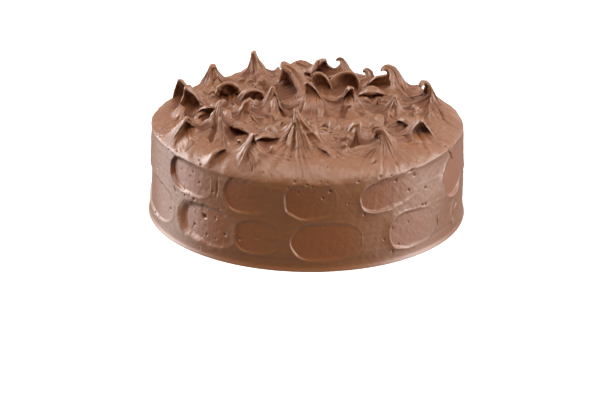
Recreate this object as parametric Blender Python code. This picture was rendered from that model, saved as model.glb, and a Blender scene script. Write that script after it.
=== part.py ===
"""A round chocolate cake, frosted all over with buttercream and left whole.

The frosting is one closed skin over the solid cake. It is worked out on sheets
of points: a disc for the top, a band for the wall and a disc for the underside.
Each point of the skin has an unrolled place, which is its way along the surface
from the middle of the top, and the frosting's pulled-up peaks, folds, hollows
and knife presses are shifts of those points.

Origin: centre of the underside. +Z up, -Y is the side that faces the viewer.
Lengths are in millimetres until the points become a mesh.
"""

import bpy
import numpy as np

MM = 0.001

# The cake's body
FOOT_RADIUS = 102.2
WALL_TOP_RADIUS = 99.2
WALL_TOP_HEIGHT = 58.0
FRONT_DIP = 6.0
FRONT_DIP_BEARING = 45.0
WALL_TOP_WAVE = 0.5
WALL_TOP_WAVES = 5
CROWN_HEIGHT = 61.0
CROWN_RADIUS = 86.5
SHOULDER_WAY = 15.5
SHOULDER_FULLNESS = 1.7
DOME_RISE = 1.5
FOOT_LIP = 0.9
FOOT_LIP_HEIGHT = 1.6
TOP_EDGE_WAY = 2.0
WALL_START_WAY = (-2.0, 4.0)
WALL_START_HEIGHT = (4.0, 10.0)
WALL_SWELL = 0.5
WALL_SWELL_LENGTH = 55.0

# How the sheets of points are laid out
TOP_CELLS = 64
WALL_ROWS = 12
GATHER = 0.30
SHEET_OVERHANG = 3.0
TIP_PULL = 1.3

# How a peak rises from its foot to its tip. The shares run from 0 at the foot to 1.
RISE_POWER = 1.6
RISE_SHARPNESS = 2.0
TIP_START = 0.86
SPINE_STEPS = 65
ROUND_START = 0.12
EDGE_START = 0.35
FOLD_START = 0.25
FOLD_SKEW = 0.45
EXTRA_FOLDS = 4
FOLD_SPAN = 1.7
BROAD_SHARE = 0.65
NEIGHBOUR_SHARPNESS = 1.6
DRIFT = 0.22
SKIRT_SHARE = 0.15
SKIRT_REACH = 1.45
SKIRT_FOLDS = 0.30
SCOOP_AHEAD = 0.55
SCOOP_NARROWNESS = 0.8
SCOOP_END = (0.1, 0.5)
PEAK_REACH = 4.0
WANDER = 2.2
WANDER_LENGTH = 27.0
TOP_SWELL = 0.9
TOP_SWELL_LENGTH = 30.0

# Each kind of peak: how it narrows across its heading, how full its outline is, how
# it narrows along its heading, how far its front is pressed into a hollow and from
# which share of its rise, how deep the frosting in front of it is scooped, its lean
# and curl in degrees, where the curl begins, the radius of its rounded edge, the number
# and depth of its folds, and how far its foot reaches ahead, behind and to the sides.
KIND_FIELDS = (
    "across", "full", "along", "hollow", "opens", "scoop", "lean", "curl", "bend",
    "edge", "folds", "depth", "ahead", "behind", "sides",
)
KIND_ROWS = {
    "spire": (2.3, 1.0, 2.3, 0.2, 0.1, 0.0, 4, 22, 0.75, 2.6, 6, 0.20, 1.0, 1.0, 1.0),
    "tent": (2.1, 1.0, 2.2, 0.1, 0.1, 0.0, 5, 35, 0.75, 1.2, 8, 0.30, 1.1, 1.1, 1.1),
    "hook": (2.5, 1.0, 2.5, 0.7, 0.1, 0.05, 10, 140, 0.50, 0.9, 6, 0.26, 0.9, 1.1, 1.0),
    "fin": (1.7, 1.0, 2.8, 0.5, 0.3, 0.05, 2, 170, 0.65, 0.9, 4, 0.20, 0.8, 0.8, 1.3),
    "loop": (2.7, 1.05, 2.5, 1.0, 0.34, 0.04, 6, 50, 0.55, 1.0, 6, 0.22, 1.1, 1.2, 1.1),
    "cowl": (1.45, 1.10, 1.6, 1.0, 0.16, 0.10, 8, 50, 0.50, 0.9, 6, 0.16, 0.9, 1.2, 1.0),
    "hood": (1.25, 1.15, 1.5, 1.0, 0.04, 0.20, 6, 50, 0.50, 0.8, 6, 0.16, 0.9, 1.3, 1.0),
    "arch": (0.80, 1.35, 1.4, 1.0, 0.04, 0.22, -2, 45, 0.50, 1.1, 5, 0.14, 0.8, 1.2, 0.9),
    "fold": (0.95, 1.15, 1.2, 1.0, 0.02, 0.22, 20, 60, 0.40, 0.7, 5, 0.16, 0.7, 1.2, 1.6),
    "mound": (1.0, 1.0, 1.0, 0.0, 0.1, 0.0, 0, 0, 0.9, 0.0, 3, 0.06, 1.0, 1.0, 1.1),
}
KINDS = {name: dict(zip(KIND_FIELDS, row)) for name, row in KIND_ROWS.items()}
HOLLOW_DEPTH = 0.60
HOLLOW_EASE = 0.20
RIM_WIDTH = 34.0
HOLLOW_WALL = (10.0, 62.0)

# The peaks: kind, place (x, y), height, foot radius, and the heading that the tip
# leans or opens towards, in degrees from +X, so that 270 faces the viewer.
PEAKS = (
    # along the front edge
    ("cowl", -75, -50, 14, 15, 280),
    ("arch", -53, -78, 7, 8, 300),
    ("loop", -33, -82, 16, 12, 310),
    ("tent", -5, -64, 25, 20, 60),
    ("hook", 43, -65, 17, 18, 195),
    ("cowl", 69, -48, 15, 13, 292),
    # front half, between the edge and the middle
    ("fin", -53, -44, 25, 14, 10),
    ("fold", -42, -51, 8, 9.5, 232),
    ("fold", -22, -67, 7, 8, 275),
    ("arch", 9, -52, 5, 6, 255),
    ("spire", 29, -52, 10, 10, 240),
    ("mound", 33, -32, 6, 15, 270),
    ("fold", 60, -32, 6, 9, 215),
    # across the middle
    ("fold", -59, -15, 8, 10, 235),
    ("hook", -37, -20, 16, 12, 0),
    ("tent", -22, -8, 17, 11.5, 30),
    ("loop", 5, -7, 21, 15, 250),
    ("loop", 24.5, -5, 19, 16, 266),
    ("hook", 77, 6, 26, 14, 190),
    ("tent", 54, -6, 14, 12, 240),
    # back half
    ("hood", -81, 11, 18, 9.5, 245),
    ("hood", -74, 0, 17, 11.5, 258),
    ("arch", -52, 18, 14, 13, 272),
    ("arch", -35, 9, 11, 9, 290),
    ("spire", -31, 34, 10, 11, 270),
    ("hood", -12, 28, 24, 19, 215),
    ("arch", 9, 31, 14, 9, 268),
    ("arch", 26, 33, 15, 11, 258),
    ("fold", 42, 17, 5, 8, 268),
    ("arch", 45, 34, 14, 9, 262),
    ("hook", 55, 33, 25, 19, 180),
    # along the back edge
    ("spire", -65, 53, 15, 15, 270),
    ("spire", -37, 70, 21, 16, 180),
    ("mound", -6, 76, 10, 17, 270),
    ("hook", -2, 53, 11, 12, 300),
    ("hood", 8, 68, 14, 14, 300),
    ("hook", 24, 72, 17, 14, 180),
    ("hook", 41, 55, 14, 12, 185),
    ("tent", 74, 38, 6, 11, 300),
)

# Sunken hollows between the peaks: place (x, y), half width, half depth, how deep,
# and the heading of the half width.
HOLLOW_SQUARENESS = 1.6
HOLLOWS = (
    (-12.8, -16.7, 5.4, 2.8, 6, 338),
    (5.4, -47, 4.5, 3.2, 7, 297),
    (18, -38, 5, 3, 5, 335),
    (38, -53, 5, 4, 6, 20),
    (28, -63, 5, 3.5, 5, 80),
    (-20, -53, 8, 2.6, 5, 43),
    (72, -20, 4, 3, 3, 330),
)

# Palette-knife presses round the wall: bearing of the middle in degrees from the
# front, its height, half length, half height and tilt in degrees, and at its left end
# the depth, the width of the step down and the height of the lip outside it.
PRESSES = (
    (-44.5, 45.5, 18.5, 10.5, -3, 2.2, 0.7, 0.3),
    (-20, 43.5, 14.7, 11.0, 0, 0.5, 0.7, 0.45),
    (1.3, 42.8, 14.8, 11.0, 0, 0.5, 0.7, 0.5),
    (30, 44.3, 20.5, 9.6, 9, 0.3, 0.6, 1.1),
    (66, 43.0, 20, 13.0, 28, 0.5, 0.6, 1.0),
    (88, 44.0, 17, 10.5, 6, 0.6, 1.0, 0.6),
    (113, 42.0, 18, 10.0, -4, 0.6, 1.0, 0.6),
    (139, 44.0, 16, 10.5, 3, 0.6, 1.0, 0.6),
    (165, 43.0, 19, 10.0, 0, 0.7, 1.0, 0.6),
    (192, 44.5, 16, 10.5, 5, 0.6, 1.0, 0.6),
    (219, 42.5, 18, 10.0, -3, 0.7, 1.0, 0.6),
    (243, 44.0, 15, 10.5, 0, 0.6, 1.0, 0.6),
    (267, 42.5, 17, 10.0, 4, 0.6, 1.0, 0.6),
    (-72, 20.0, 34, 13.5, 0, 0.4, 1.5, 0.2),
    (-37, 19.5, 22.5, 13.0, 0, 2.6, 8.0, 0.2),
    (-16.6, 19.0, 13.3, 10.2, 2, 0.4, 0.7, 0.4),
    (6.8, 18.0, 20.4, 12.0, 0, 0.5, 0.7, 0.45),
    (39.5, 18.2, 18.5, 11.8, -3, 0.3, 0.6, 1.2),
    (70, 15.0, 14, 12.0, -8, 0.4, 0.6, 1.0),
    (96, 18.0, 18, 12.0, 3, 0.6, 1.0, 0.6),
    (124, 19.0, 19, 11.5, -2, 0.7, 1.0, 0.6),
    (151, 17.0, 17, 12.5, 4, 0.6, 1.0, 0.6),
    (178, 19.0, 20, 12.0, -3, 0.6, 1.0, 0.6),
    (206, 18.0, 16, 12.0, 2, 0.7, 1.0, 0.6),
    (232, 18.5, 19, 12.5, 0, 0.6, 1.0, 0.6),
    (256, 17.5, 14, 11.5, -4, 0.6, 1.0, 0.6),
)
PRESS_SQUARENESS = 2.6
PRESS_FLATNESS = 0.2
PRESS_RISE = 2.0
PRESS_STEP = 2.5
PRESS_ENTRY = (-0.9, 0.3)
PRESS_ENTRY_SLANT = 0.2
PRESS_WOBBLE = 0.45
PRESS_WOBBLE_LENGTH = 9.0
PRESS_LIP = 0.18
PRESS_LIP_PLACE = 0.3
PRESS_LIP_INNER = 0.4
PRESS_LIP_OUTER = (0.5, 2.6)

FROSTING_COLOUR = (0.23, 0.115, 0.07, 1.0)
FROSTING_ROUGHNESS = 0.45


def ease(low, high, value):
    """0 below low, 1 above high, and a smooth S between them."""
    t = np.clip((value - low) / (high - low), 0.0, 1.0)
    return t * t * (3.0 - 2.0 * t)


def ripples(x, y, length, seed, waves=7):
    """Smooth unevenness from -1 to 1: a sum of plane waves near one wavelength, in seeded directions."""
    draw = np.random.RandomState(seed)
    total = np.zeros_like(x)
    for heading, phase, stretch in draw.uniform((0, 0, 0.75), (np.pi, 2 * np.pi, 1.35), (waves, 3)):
        turns = 2 * np.pi / (length * stretch)
        total += np.cos(turns * (x * np.cos(heading) + y * np.sin(heading)) + phase)
    return total / waves**0.5 / 1.6


def body_profile(way, bearing):
    """Radius and height of the plain skin at a way along it from the middle of the top.

    The top is a low dome, the shoulder a superellipse and the wall a straight line
    that leans out to a thin lip at the foot.
    """
    dip = FRONT_DIP * np.exp(-((np.degrees(bearing) / FRONT_DIP_BEARING) ** 2))
    wall_top = WALL_TOP_HEIGHT - dip + WALL_TOP_WAVE * np.cos(WALL_TOP_WAVES * bearing)

    inward = np.clip(way / CROWN_RADIUS, 0.0, 1.0)
    turn = np.clip((way - CROWN_RADIUS) / SHOULDER_WAY, 0.0, 1.0) * np.pi / 2
    power = 2 / SHOULDER_FULLNESS
    down = np.clip((way - CROWN_RADIUS - SHOULDER_WAY) / WALL_TOP_HEIGHT, 0.0, 1.0)

    radius = np.minimum(way, CROWN_RADIUS)
    radius = radius + (WALL_TOP_RADIUS - CROWN_RADIUS) * np.sin(turn) ** power
    radius = radius + (FOOT_RADIUS - WALL_TOP_RADIUS) * down
    height = wall_top + (CROWN_HEIGHT - wall_top) * np.abs(np.cos(turn)) ** power
    height = height * (1 - down) + DOME_RISE * (1 - inward**2)
    lip = FOOT_LIP * np.exp(-((height / FOOT_LIP_HEIGHT) ** 2))
    return radius + lip, height


def spine(height, kind, rise):
    """Offset along the heading, height and slant of a peak's spine at each share of its length.

    The slant from upright grows with the lean and then with the curl, and the
    spine is the running sum of steps in its direction.
    """
    steps = np.linspace(0.0, 1.0, SPINE_STEPS)
    slant = np.radians(kind["lean"] * steps + kind["curl"] * ease(kind["bend"], 1.0, steps))
    stride = height / (SPINE_STEPS - 1)
    ahead = np.concatenate(([0.0], np.cumsum(np.sin((slant[1:] + slant[:-1]) / 2) * stride)))
    up = np.concatenate(([0.0], np.cumsum(np.cos((slant[1:] + slant[:-1]) / 2) * stride)))
    return np.interp(rise, steps, ahead), np.interp(rise, steps, up), np.interp(rise, steps, slant)


def wander(flat):
    """A slow sideways drift of the skin, which makes the peaks' feet uneven."""
    x, y = flat[:, 0], flat[:, 1]
    return WANDER * np.column_stack((ripples(x, y, WANDER_LENGTH, 21), ripples(x, y, WANDER_LENGTH, 22)))


def pleats(angle, kind, draw):
    """Unevenness round a peak from -1 in a groove to about 1 on a ridge, from two sets of folds."""
    phases = draw.uniform(0, 2 * np.pi, 3)
    turned = angle + FOLD_SKEW * np.sin(angle + phases[0])
    broad = np.abs(np.cos(kind["folds"] * turned / 2 + phases[1]))
    narrow = np.abs(np.cos((kind["folds"] + EXTRA_FOLDS) * turned / 2 + phases[2]))
    return FOLD_SPAN * (BROAD_SHARE * broad + (1 - BROAD_SHARE) * narrow) - 1.0


def pull_peak(flat, drifted, peak, number):
    """Shift of the skin points by one peak, their rise from 0 at its foot to 1 at its tip, and its skirt.

    Rings of points round the foot climb the spine and close in on it. Their inner
    half is pressed back by the kind's hollow, which turns a round shaft into a
    curled sheet, and folds run up them from the foot to the tip. The skirt is the
    low swell round the foot, scooped out in front of a hollow peak.
    """
    name, x, y, height, foot, heading = peak
    kind = KINDS[name]
    draw = np.random.RandomState(100 + number)
    ahead = np.array((np.cos(np.radians(heading)), np.sin(np.radians(heading))))
    aside = np.array((-ahead[1], ahead[0]))
    middle = np.array([(x, y)], float)
    offset = flat - middle + drifted - wander(middle)
    along, across = offset @ ahead, offset @ aside
    reach = np.where(along > 0, kind["ahead"], kind["behind"]) * foot
    breadth = kind["sides"] * foot
    out = np.hypot(along / reach, across / breadth)
    angle = np.arctan2(across / breadth, along / reach)

    inner = np.clip(out, 0.0, 1.0)
    rise = (1 - inner**RISE_POWER) ** RISE_SHARPNESS
    past_start = np.clip(1 - inner - TIP_START, 0, 1) / (1 - TIP_START)
    edge = kind["edge"] * ease(0.0, EDGE_START, rise) * np.sqrt(np.clip(1 - past_start**2, 0, 1))
    folds = pleats(angle, kind, draw)
    swell = 1 + kind["depth"] * ease(0.0, FOLD_START, rise) * folds

    opened = ease(kind["opens"], kind["opens"] + HOLLOW_EASE, rise)
    pressed = np.where(np.cos(angle) < 0, 0.0, kind["hollow"] * opened)
    from_rim = 90 - np.degrees(np.abs(angle))
    rim = edge * np.sin(np.pi * np.clip(from_rim / RIM_WIDTH, 0.0, 1.0))
    sunk = HOLLOW_DEPTH * kind["behind"] * foot * inner ** kind["along"] * ease(*HOLLOW_WALL, from_rim)
    narrowing = inner ** kind["across"] * (kind["full"] - (kind["full"] - 1) * inner)
    round_front = (reach * inner ** kind["along"] * swell + edge) * np.cos(angle)
    thick = (1 - pressed) * round_front + pressed * (rim - sunk)
    wide = (breadth * narrowing * swell + edge) * np.sin(angle)
    wide = wide + DRIFT * draw.uniform(-1, 1) * height * rise**2
    start = ease(0.0, ROUND_START, rise)
    thick = start * thick + (1 - start) * along
    wide = start * wide + (1 - start) * across

    spine_ahead, spine_up, slant = spine((1 - SKIRT_SHARE) * height, kind, rise)
    along_to = spine_ahead + thick * np.cos(slant)
    up_to = spine_up - thick * np.sin(slant)
    shift = np.outer(along_to - along, ahead) + np.outer(wide - across, aside)
    inside = out < 1
    shift = np.column_stack((shift, up_to)) * inside[:, None]

    near = np.hypot(along, across) / (SKIRT_REACH * foot)
    skirt = SKIRT_SHARE * height * np.exp(-(near**2)) * (1 + SKIRT_FOLDS * folds)
    in_front = np.hypot(along - SCOOP_AHEAD * foot, SCOOP_NARROWNESS * across) / (SCOOP_AHEAD * foot)
    skirt -= kind["scoop"] * height * np.exp(-(in_front**2)) * (1 - ease(*SCOOP_END, rise * (along < 0)))
    return shift, rise * inside, skirt


def pull_peaks(flat, peaks):
    """Shift of the skin points by all peaks: the peak that lifts a point higher counts more."""
    total = np.zeros((len(flat), 3))
    weights = np.full(len(flat), 1e-9)
    skirts = np.zeros(len(flat))
    drifted = wander(flat)
    for number, peak in enumerate(peaks):
        near = np.nonzero(np.hypot(flat[:, 0] - peak[1], flat[:, 1] - peak[2]) < PEAK_REACH * peak[4])[0]
        shift, rise, skirt = pull_peak(flat[near], drifted[near], peak, number)
        weight = (rise * peak[3]) ** NEIGHBOUR_SHARPNESS
        total[near] += shift * weight[:, None]
        weights[near] += weight
        skirts[near] += skirt
    total /= weights[:, None]
    total[:, 2] += skirts
    return total


def sink_hollows(flat, hollows):
    """Depth of the hollows between the peaks: a steep-sided oval dish each."""
    depth = np.zeros(len(flat))
    for x, y, half_width, half_depth, deep, heading in hollows:
        turn = np.radians(heading)
        dx, dy = flat[:, 0] - x, flat[:, 1] - y
        u = (dx * np.cos(turn) + dy * np.sin(turn)) / half_width
        v = (dy * np.cos(turn) - dx * np.sin(turn)) / half_depth
        depth += deep * np.exp(-((u**2 + v**2) ** HOLLOW_SQUARENESS))
    return depth


def press_wall(bearing, height):
    """How far the wall is pressed in, with the lips that the knife raised as negative depths.

    Each press is a rounded oblong with a nearly flat floor and an uneven outline. It is
    deepest at its left end, where the knife went in and raised a lip that runs out
    gently over the wall, and it rises to the level of the wall at its right end.
    """
    depth = np.zeros_like(bearing)
    uneven = PRESS_WOBBLE * ripples(WALL_TOP_RADIUS * bearing, height, PRESS_WOBBLE_LENGTH, 5)
    for middle, level, half_length, half_height, tilt, deep, left_step, left_lip in PRESSES:
        turn = np.radians(tilt)
        gap = (np.degrees(bearing) - middle + 180) % 360 - 180
        dx, dz = np.radians(gap) * WALL_TOP_RADIUS, height - level
        u = (dx * np.cos(turn) + dz * np.sin(turn)) / half_length
        v = (dz * np.cos(turn) - dx * np.sin(turn)) / half_height
        edge = (np.abs(u) ** PRESS_SQUARENESS + np.abs(v) ** PRESS_SQUARENESS) ** (1 / PRESS_SQUARENESS)
        beyond = (1 - 1 / np.maximum(edge, 0.05)) * np.hypot(dx, dz) + uneven
        entry = 1 - ease(*PRESS_ENTRY, u + PRESS_ENTRY_SLANT * v)
        step = PRESS_STEP + (left_step - PRESS_STEP) * entry
        lip = PRESS_LIP + (left_lip - PRESS_LIP) * entry
        outer = PRESS_LIP_OUTER[0] + (PRESS_LIP_OUTER[1] - PRESS_LIP_OUTER[0]) * entry
        floor = 1 - ease(-1.0, 0.0, beyond / step)
        sagitta = (half_length**2 - np.minimum(dx**2, half_length**2)) / (2 * WALL_TOP_RADIUS)
        to_left = np.clip((1 - u) / 2, 0.0, 1.0) ** PRESS_RISE
        depth += floor * (deep * to_left + PRESS_FLATNESS * sagitta)
        from_lip = beyond - PRESS_LIP_PLACE
        fall = np.where(from_lip < 0, (from_lip / PRESS_LIP_INNER) ** 2, np.abs(from_lip) / outer)
        depth -= lip * np.exp(-fall)
    return depth


def skin(flat):
    """The frosted skin in millimetres at unrolled places: the plain body with all its relief."""
    way = np.hypot(flat[:, 0], flat[:, 1])
    bearing = np.arctan2(flat[:, 0], -flat[:, 1])
    radius, height = body_profile(way, bearing)
    wall_way = CROWN_RADIUS + SHOULDER_WAY
    on_top = 1 - ease(CROWN_RADIUS + TOP_EDGE_WAY, wall_way, way)
    on_wall = ease(*WALL_START_HEIGHT, height) * ease(*WALL_START_WAY, way - wall_way)

    swell = ripples(WALL_TOP_RADIUS * bearing, height, WALL_SWELL_LENGTH, 3)
    radius = radius + on_wall * (WALL_SWELL * swell - press_wall(bearing, height))
    swell = ripples(flat[:, 0], flat[:, 1], TOP_SWELL_LENGTH, 8)
    height = height + on_top * (TOP_SWELL * swell - sink_hollows(flat, HOLLOWS))
    plain = np.column_stack((radius * np.sin(bearing), -radius * np.cos(bearing), height))
    return plain + on_top[:, None] * pull_peaks(flat, PEAKS)


def disc_sheet(cells):
    """Places in the unit disc for a square of cells: each square ring of the sheet becomes a round ring."""
    steps = np.linspace(-1.0, 1.0, cells + 1)
    a, b = (side.ravel() for side in np.meshgrid(steps, steps))
    ring = np.maximum(np.abs(a), np.abs(b))
    wide = np.abs(a) >= np.abs(b)
    share = np.where(wide, b, a) / np.where(ring > 0, np.where(wide, a, b), 1.0)
    angle = np.where(wide, share, 2 - share) * np.pi / 4 + np.where(np.where(wide, a, b) < 0, np.pi, 0.0)
    return np.column_stack((ring * np.cos(angle), ring * np.sin(angle)))


def disc_edge(cells):
    """Numbers of the sheet's outer points, once round anticlockwise."""
    row = cells + 1
    return np.concatenate((
        np.arange(cells),
        cells + row * np.arange(cells),
        row * cells + cells - np.arange(cells),
        row * (cells - np.arange(cells)),
    ))


def settle_on_peaks(flat, spacing):
    """Gathers the sheet's points a little towards each peak, then puts each tip on one of them."""
    middles = np.array([peak[1:3] for peak in PEAKS], float)
    for middle, peak in zip(middles, PEAKS):
        offset = flat - middle
        near = np.exp(-(np.sum(offset**2, axis=1) / peak[4] ** 2))
        flat = flat - GATHER * near[:, None] * offset
    for middle in middles:
        away = np.hypot(*(flat - middle).T)
        nearest = np.argmin(away)
        flat = flat + np.outer(np.exp(-((away / (TIP_PULL * spacing)) ** 2)), middle - flat[nearest])
    return flat


def frosted_mesh(name):
    """The whole skin as one closed mesh: top sheet, wall rows and the flat underside.

    The wall has half as many points round it as the top sheet's edge, so a row of
    five-sided faces joins the two.
    """
    sheet_way = CROWN_RADIUS + SHOULDER_WAY + SHEET_OVERHANG
    foot_way = CROWN_RADIUS + SHOULDER_WAY + WALL_TOP_HEIGHT
    sheet = settle_on_peaks(disc_sheet(TOP_CELLS) * sheet_way, 2 * sheet_way / TOP_CELLS)
    rim = disc_edge(TOP_CELLS)
    sheet[rim] *= sheet_way / np.hypot(*sheet[rim].T)[:, None]
    outward = sheet[rim[::2]] / sheet_way
    around = len(outward)
    ways = np.linspace(sheet_way, foot_way, WALL_ROWS + 1)[1:]
    points = skin(np.concatenate([sheet] + [outward * way for way in ways]))
    points[-around:, 2] = 0.0
    points = np.concatenate((points, [[0.0, 0.0, 0.0]]))

    row = TOP_CELLS + 1
    corner = (np.arange(TOP_CELLS)[:, None] * row + np.arange(TOP_CELLS)).ravel()
    faces = np.column_stack((corner, corner + 1, corner + row + 1, corner + row)).tolist()
    rings = len(sheet) + np.arange(WALL_ROWS * around).reshape(WALL_ROWS, around)
    after = np.roll(rings, -1, axis=1)
    faces += np.column_stack((np.roll(rim, -2)[::2], rim[1::2], rim[::2], rings[0], after[0])).tolist()
    for level in range(WALL_ROWS - 1):
        faces += np.column_stack((rings[level], rings[level + 1], after[level + 1], after[level])).tolist()
    centre = np.full(around, len(points) - 1)
    faces += np.column_stack((rings[-1], centre, after[-1])).tolist()

    mesh = bpy.data.meshes.new(name)
    mesh.from_pydata((points * MM).tolist(), [], faces)
    mesh.shade_smooth()
    return mesh


def frosting_material():
    material = bpy.data.materials.new("chocolate_buttercream")
    material.use_nodes = True
    shader = material.node_tree.nodes["Principled BSDF"]
    shader.inputs["Base Color"].default_value = FROSTING_COLOUR
    shader.inputs["Roughness"].default_value = FROSTING_ROUGHNESS
    shader.inputs["Metallic"].default_value = 0.0
    return material


def main():
    for old in list(bpy.data.objects):
        bpy.data.objects.remove(old)
    cake = bpy.data.objects.new("frosted_cake", frosted_mesh("frosted_cake"))
    cake.data.materials.append(frosting_material())
    collection = bpy.data.collections.new("chocolate_cake")
    bpy.context.scene.collection.children.link(collection)
    collection.objects.link(cake)


main()
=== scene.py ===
"""A whole round chocolate cake, frosted with buttercream that was pulled up into peaks on
top and pressed flat in patches round the wall.

The frosting is one skin, worked out with numpy as two surfaces that share an edge: a disc
sheet for the top and shoulder, and a band for the wall and the underside. Each point has
an unrolled place, which is its way along the surface from the middle of the top, and
every peak, hollow, knife press and streak shifts the points. Lengths are in
millimetres until the points become a mesh. +Z is up and -Y faces the viewer.
"""

import bpy
import numpy as np
from mathutils import Matrix, Vector


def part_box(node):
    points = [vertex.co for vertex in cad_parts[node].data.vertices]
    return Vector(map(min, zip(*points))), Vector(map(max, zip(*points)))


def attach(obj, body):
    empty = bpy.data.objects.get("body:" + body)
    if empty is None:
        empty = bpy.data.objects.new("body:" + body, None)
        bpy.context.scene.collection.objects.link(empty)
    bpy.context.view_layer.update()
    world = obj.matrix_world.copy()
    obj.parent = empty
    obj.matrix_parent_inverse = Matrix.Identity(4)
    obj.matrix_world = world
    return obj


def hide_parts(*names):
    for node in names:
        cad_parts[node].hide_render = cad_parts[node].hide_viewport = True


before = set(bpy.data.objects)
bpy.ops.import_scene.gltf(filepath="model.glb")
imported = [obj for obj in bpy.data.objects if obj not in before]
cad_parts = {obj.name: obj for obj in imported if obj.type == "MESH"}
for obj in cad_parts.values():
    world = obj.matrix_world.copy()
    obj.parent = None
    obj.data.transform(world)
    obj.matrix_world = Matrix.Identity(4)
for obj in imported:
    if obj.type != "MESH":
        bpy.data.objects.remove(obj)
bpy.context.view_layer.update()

MM = 0.001
CAKE = "frosted_cake"

# The cake's body
FOOT_LIP = 0.9
FOOT_RADIUS = (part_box(CAKE)[1][0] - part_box(CAKE)[0][0]) / 2 / MM - FOOT_LIP
WALL_TOP_RADIUS = 99.2
WALL_TOP_HEIGHT = 58.0
FRONT_DIP = 6.0
FRONT_DIP_BEARING = 45.0
WALL_TOP_WAVE = 0.5
WALL_TOP_WAVES = 5
CROWN_HEIGHT = 61.0
CROWN_RADIUS = 86.5
SHOULDER_WAY = 15.5
SHOULDER_FULLNESS = 1.7
DOME_RISE = 1.5
FOOT_LIP_HEIGHT = 1.6
TOP_EDGE_WAY = 2.0
WALL_START_WAY = (-2.0, 4.0)
WALL_START_HEIGHT = (4.0, 10.0)
WALL_SWELL = 0.5
WALL_SWELL_LENGTH = 55.0

# Sums of waves: how many, how far their lengths spread, and what scales them to 1
RIPPLE_WAVES = 7
RIPPLE_STRETCH = (0.75, 1.35)
RIPPLE_SPAN = 1.6
GRAIN_WAVES = 10
GRAIN_STRETCH = (0.7, 1.4)
LINE_WAVES = 9
LINE_SPAN = 1.4

# Seeds of the random draws. Each peak adds its number to its own.
SEEDS = {
    "wall swell": 3,
    "press outline": 5,
    "top swell": 8,
    "crags": 9,
    "wander": (21, 22),
    "lumps": 31,
    "crumbs": 32,
    "drag": 33,
    "strokes": 34,
    "shoulder lumps": 36,
    "tears": 41,
    "broad ridges": (51, 52),
    "grooves": (53, 54),
    "fine ridges": (55, 56),
    "holes": 77,
    "peak": 100,
    "streaks": 300,
}

# How the sheets of points are laid out
TOP_CELLS = 400
WALL_ROWS = 90
GATHER = 0.20
SHEET_OVERHANG = 3.0
TIP_PULL = 1.3

# How a peak rises from its foot to its tip. The shares run from 0 at the foot to 1.
RISE_POWER = 1.6
RISE_SHARPNESS = 2.0
TIP_START = 0.86
SPINE_STEPS = 65
ROUND_START = 0.12
EDGE_START = 0.35
FOLD_START = 0.25
FOLD_SKEW = 0.45
EXTRA_FOLDS = 4
FOLD_SPAN = 1.7
BROAD_SHARE = 0.65
NEIGHBOUR_SHARPNESS = 1.6
DRIFT = 0.22
SKIRT_SHARE = 0.15
SKIRT_REACH = 1.45
SKIRT_FOLDS = 0.30
SCOOP_AHEAD = 0.55
SCOOP_NARROWNESS = 0.8
SCOOP_END = (0.1, 0.5)
PEAK_REACH = 4.0
WANDER = 2.2
WANDER_LENGTH = 27.0
TOP_SWELL = 0.9
TOP_SWELL_LENGTH = 30.0

# Each kind of peak: how it narrows across its heading, how full its outline is, how
# it narrows along its heading, how far its front is pressed into a hollow and from
# which share of its rise, how deep the frosting in front of it is scooped, its lean
# and curl in degrees, where the curl begins, the radius of its rounded edge, the number
# and depth of its folds, and how far its foot reaches ahead, behind and to the sides.
KIND_FIELDS = (
    "across", "full", "along", "hollow", "opens", "scoop", "lean", "curl", "bend",
    "edge", "folds", "depth", "ahead", "behind", "sides",
)
KIND_ROWS = {
    "spire": (2.3, 1.0, 2.3, 0.2, 0.1, 0.0, 4, 22, 0.75, 2.6, 6, 0.20, 1.0, 1.0, 1.0),
    "tent": (2.1, 1.0, 2.2, 0.1, 0.1, 0.0, 5, 35, 0.75, 1.2, 8, 0.30, 1.1, 1.1, 1.1),
    "hook": (2.5, 1.0, 2.5, 0.7, 0.1, 0.05, 10, 140, 0.50, 0.9, 6, 0.26, 0.9, 1.1, 1.0),
    "fin": (1.7, 1.0, 2.8, 0.5, 0.3, 0.05, 2, 170, 0.65, 0.9, 4, 0.20, 0.8, 0.8, 1.3),
    "loop": (2.7, 1.05, 2.5, 1.0, 0.34, 0.04, 6, 50, 0.55, 1.0, 6, 0.22, 1.1, 1.2, 1.1),
    "cowl": (1.45, 1.10, 1.6, 1.0, 0.16, 0.10, 8, 50, 0.50, 0.9, 6, 0.16, 0.9, 1.2, 1.0),
    "hood": (1.25, 1.15, 1.5, 1.0, 0.04, 0.20, 6, 50, 0.50, 0.8, 6, 0.16, 0.9, 1.3, 1.0),
    "arch": (0.80, 1.35, 1.4, 1.0, 0.04, 0.22, -2, 45, 0.50, 1.1, 5, 0.14, 0.8, 1.2, 0.9),
    "fold": (0.95, 1.15, 1.2, 1.0, 0.02, 0.22, 20, 60, 0.40, 0.7, 5, 0.16, 0.7, 1.2, 1.6),
    "mound": (1.0, 1.0, 1.0, 0.0, 0.1, 0.0, 0, 0, 0.9, 0.0, 3, 0.06, 1.0, 1.0, 1.1),
}
KINDS = {name: dict(zip(KIND_FIELDS, row)) for name, row in KIND_ROWS.items()}
HOLLOW_DEPTH = 0.60
HOLLOW_EASE = 0.20
RIM_WIDTH = 34.0
HOLLOW_WALL = (10.0, 62.0)

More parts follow.
